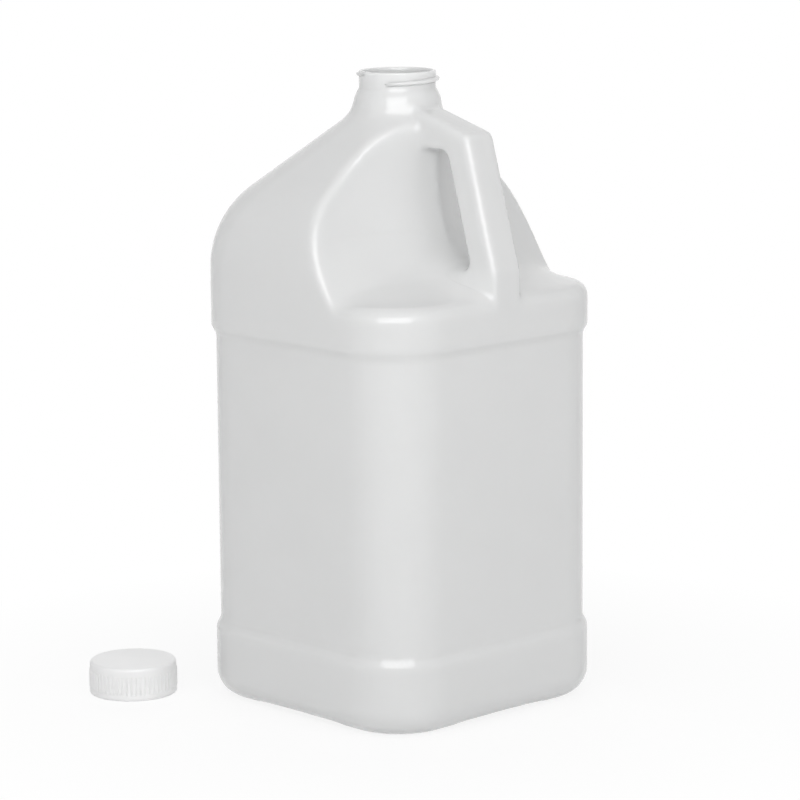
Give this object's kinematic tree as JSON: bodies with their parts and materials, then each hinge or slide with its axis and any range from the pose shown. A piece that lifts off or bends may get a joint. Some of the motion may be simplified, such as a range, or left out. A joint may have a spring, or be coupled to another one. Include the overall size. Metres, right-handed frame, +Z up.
{
  "type": "square plastic jug",
  "caption": "Square blow-moulded jug with a moulded-through side handle, a threaded round neck and its ribbed screw cap lying beside it.",
  "frame": {"origin": "middle of the jug's base, on the plane that its four feet rest on", "axes": "+Z up along the neck, +X from the body's middle towards the handle, XZ is the jug's plane of symmetry"},
  "size_m": [0.1777, 0.1777, 0.2863],
  "materials": {
    "jug_plastic": "satin natural polyethylene",
    "cap_plastic": "satin white polypropylene",
    "liner_foam": "matt foam"
  },
  "bodies": {
    "root": {"jug_body": "jug_plastic", "cap_shell": "cap_plastic", "cap_liner": "liner_foam"}
  },
  "joints": []
}
